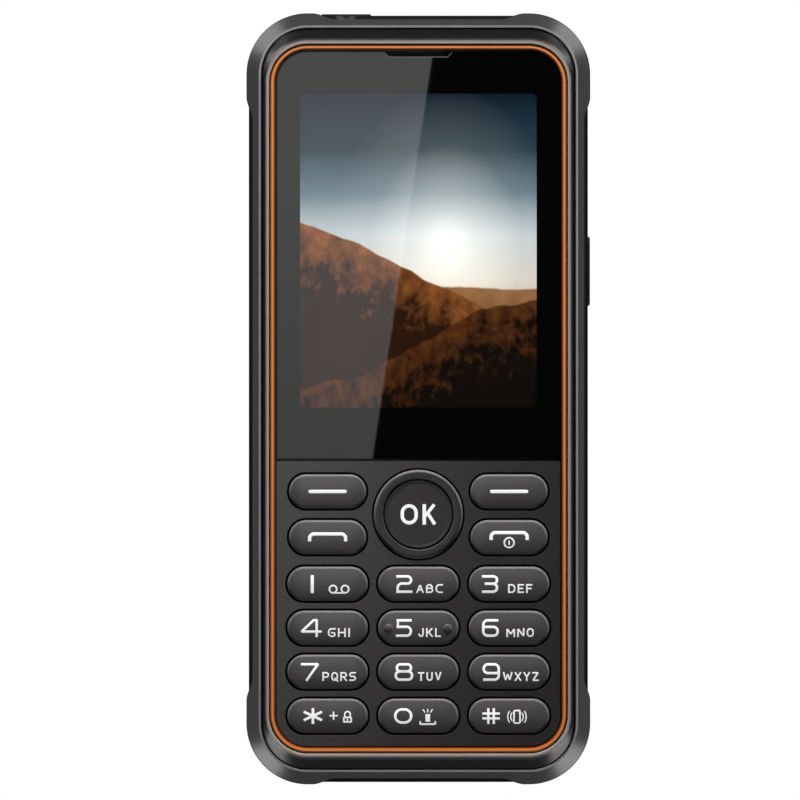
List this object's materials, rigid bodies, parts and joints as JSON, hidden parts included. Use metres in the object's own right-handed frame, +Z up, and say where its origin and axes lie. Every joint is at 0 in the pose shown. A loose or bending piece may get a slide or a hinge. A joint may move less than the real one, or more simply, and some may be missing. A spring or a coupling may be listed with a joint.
{
  "type": "feature phone",
  "caption": "Rugged bar-shaped feature phone with a colour screen above a pill-key keypad, a rocking navigation ring, a side key, a hinged port flap and a lift-off battery door.",
  "frame": {"origin": "middle of the box's underside: the phone stands upright on its two lower corner bumpers", "axes": "+Z up the phone from keypad to earpiece, -Y out of the screen, +X to the right seen from the front"},
  "size_m": [0.063, 0.017, 0.1414],
  "materials": {
    "bumper_rubber": "satin moulded rubber over plastic",
    "bezel_black": "dark satin moulded plastic",
    "accent_orange": "orange satin paint",
    "window_glass": "clear hardened glass with a black printed border",
    "panel_grey": "graphite satin paint",
    "key_grey": "graphite satin keycap with white legend",
    "mesh_steel": "fine woven wire, dark",
    "silicone_grey": "translucent silicone",
    "foam_black": "closed foam",
    "seal_rubber": "moulded seal",
    "seal_orange": "moulded seal",
    "spring_steel": "stamped spring steel",
    "screw_steel": "plated screw",
    "tin_can": "tinned sheet",
    "display_stack": "display glass in a metal tray",
    "flex_amber": "polyimide ribbon",
    "board_green": "solder resist",
    "part_black": "moulded component",
    "housing_black": "fine textured plastic",
    "cover_black": "fine textured plastic",
    "camera_glass": "dark cover glass",
    "lamp_clear": "clear moulded lens",
    "lamp_yellow": "lamp with phosphor",
    "carrier_tan": "plated antenna carrier",
    "battery_can": "wrapped cell",
    "gold_contact": "gilt can",
    "flap_rubber": "soft rubber",
    "side_key_black": "satin plastic"
  },
  "bodies": {
    "phone": {"bumper_frame": "bumper_rubber", "front_bezel": "bezel_black", "accent_ring": "accent_orange", "display_window": "window_glass", "keypad_panel": "panel_grey", "earpiece_mesh": "mesh_steel", "keypad_web": "silicone_grey", "key_domes": "spring_steel", "display_module": "display_stack", "display_cushion": "foam_black", "display_flex": "flex_amber", "earpiece_receiver": "part_black", "main_board": "board_green", "shield_cans": "tin_can", "usb_socket": "tin_can", "side_switch": "part_black", "microphone": "gold_contact", "vibration_motor": "tin_can", "card_sockets": "tin_can", "battery_connector": "part_black", "board_screws": "screw_steel", "rear_housing": "housing_black", "rear_seal": "seal_rubber", "housing_screws": "screw_steel", "loudspeaker": "part_black", "speaker_mesh": "mesh_steel", "camera_module": "part_black", "camera_window": "camera_glass", "flash_led": "lamp_yellow", "flash_lens": "lamp_clear", "antenna_carrier": "carrier_tan", "battery": "battery_can"},
    "battery_door": {"battery_cover": "cover_black", "cover_gasket": "seal_orange", "cover_screws": "screw_steel"},
    "key_1": {"key_1": "key_grey"},
    "key_2": {"key_2": "key_grey"},
    "key_3": {"key_3": "key_grey"},
    "key_4": {"key_4": "key_grey"},
    "key_5": {"key_5": "key_grey"},
    "key_6": {"key_6": "key_grey"},
    "key_7": {"key_7": "key_grey"},
    "key_8": {"key_8": "key_grey"},
    "key_9": {"key_9": "key_grey"},
    "key_star": {"key_star": "key_grey"},
    "key_0": {"key_0": "key_grey"},
    "key_hash": {"key_hash": "key_grey"},
    "soft_key_left": {"soft_key_left": "key_grey"},
    "soft_key_right": {"soft_key_right": "key_grey"},
    "call_key": {"call_key": "key_grey"},
    "end_key": {"end_key": "key_grey"},
    "nav_rocker": {"nav_rocker_plate": "silicone_grey"},
    "nav_ring": {"nav_ring": "key_grey"},
    "ok_key": {"ok_key": "key_grey"},
    "side_key": {"side_key": "side_key_black"},
    "port_cover": {"port_cover": "flap_rubber"}
  },
  "joints": [
    {"name": "key_1_press", "type": "slide", "parent": "phone", "child": "key_1", "axis": [0, 1, 0], "range_m": [0, 0.0003], "stiffness_N_per_m": 2000},
    {"name": "key_2_press", "type": "slide", "parent": "phone", "child": "key_2", "axis": [0, 1, 0], "range_m": [0, 0.0003], "stiffness_N_per_m": 2000},
    {"name": "key_3_press", "type": "slide", "parent": "phone", "child": "key_3", "axis": [0, 1, 0], "range_m": [0, 0.0003], "stiffness_N_per_m": 2000},
    {"name": "key_4_press", "type": "slide", "parent": "phone", "child": "key_4", "axis": [0, 1, 0], "range_m": [0, 0.0003], "stiffness_N_per_m": 2000},
    {"name": "key_5_press", "type": "slide", "parent": "phone", "child": "key_5", "axis": [0, 1, 0], "range_m": [0, 0.0003], "stiffness_N_per_m": 2000},
    {"name": "key_6_press", "type": "slide", "parent": "phone", "child": "key_6", "axis": [0, 1, 0], "range_m": [0, 0.0003], "stiffness_N_per_m": 2000},
    {"name": "key_7_press", "type": "slide", "parent": "phone", "child": "key_7", "axis": [0, 1, 0], "range_m": [0, 0.0003], "stiffness_N_per_m": 2000},
    {"name": "key_8_press", "type": "slide", "parent": "phone", "child": "key_8", "axis": [0, 1, 0], "range_m": [0, 0.0003], "stiffness_N_per_m": 2000},
    {"name": "key_9_press", "type": "slide", "parent": "phone", "child": "key_9", "axis": [0, 1, 0], "range_m": [0, 0.0003], "stiffness_N_per_m": 2000},
    {"name": "key_star_press", "type": "slide", "parent": "phone", "child": "key_star", "axis": [0, 1, 0], "range_m": [0, 0.0003], "stiffness_N_per_m": 2000},
    {"name": "key_0_press", "type": "slide", "parent": "phone", "child": "key_0", "axis": [0, 1, 0], "range_m": [0, 0.0003], "stiffness_N_per_m": 2000},
    {"name": "key_hash_press", "type": "slide", "parent": "phone", "child": "key_hash", "axis": [0, 1, 0], "range_m": [0, 0.0003], "stiffness_N_per_m": 2000},
    {"name": "soft_key_left_press", "type": "slide", "parent": "phone", "child": "soft_key_left", "axis": [0, 1, 0], "range_m": [0, 0.0003], "stiffness_N_per_m": 2000},
    {"name": "soft_key_right_press", "type": "slide", "parent": "phone", "child": "soft_key_right", "axis": [0, 1, 0], "range_m": [0, 0.0003], "stiffness_N_per_m": 2000},
    {"name": "call_key_press", "type": "slide", "parent": "phone", "child": "call_key", "axis": [0, 1, 0], "range_m": [0, 0.0003], "stiffness_N_per_m": 2000},
    {"name": "end_key_press", "type": "slide", "parent": "phone", "child": "end_key", "axis": [0, 1, 0], "range_m": [0, 0.0003], "stiffness_N_per_m": 2000},
    {"name": "ok_key_press", "type": "slide", "parent": "phone", "child": "ok_key", "axis": [0, 1, 0], "range_m": [0, 0.0003], "stiffness_N_per_m": 2000},
    {"name": "nav_rock_up_down", "type": "hinge", "parent": "phone", "child": "nav_rocker", "pos_m": [0, -0.0057, 0.0495], "axis": [1, 0, 0], "range_deg": [-1.5, 1.5], "stiffness_Nm_per_rad": 0.2},
    {"name": "nav_rock_left_right", "type": "hinge", "parent": "nav_rocker", "child": "nav_ring", "pos_m": [0, -0.0057, 0.0495], "axis": [0, 0, 1], "range_deg": [-1.5, 1.5], "stiffness_Nm_per_rad": 0.2},
    {"name": "side_key_press", "type": "slide", "parent": "phone", "child": "side_key", "axis": [-1, 0, 0], "range_m": [0, 0.0003], "stiffness_N_per_m": 2000},
    {"name": "port_cover_hinge", "type": "hinge", "parent": "phone", "child": "port_cover", "pos_m": [-0.01325, 0.00135, 0.14063], "axis": [-1, 0, 0], "range_deg": [0, 105]},
    {"name": "battery_door_lift", "type": "slide", "parent": "phone", "child": "battery_door", "axis": [0, 1, 0], "range_m": [0, 0.025]}
  ]
}
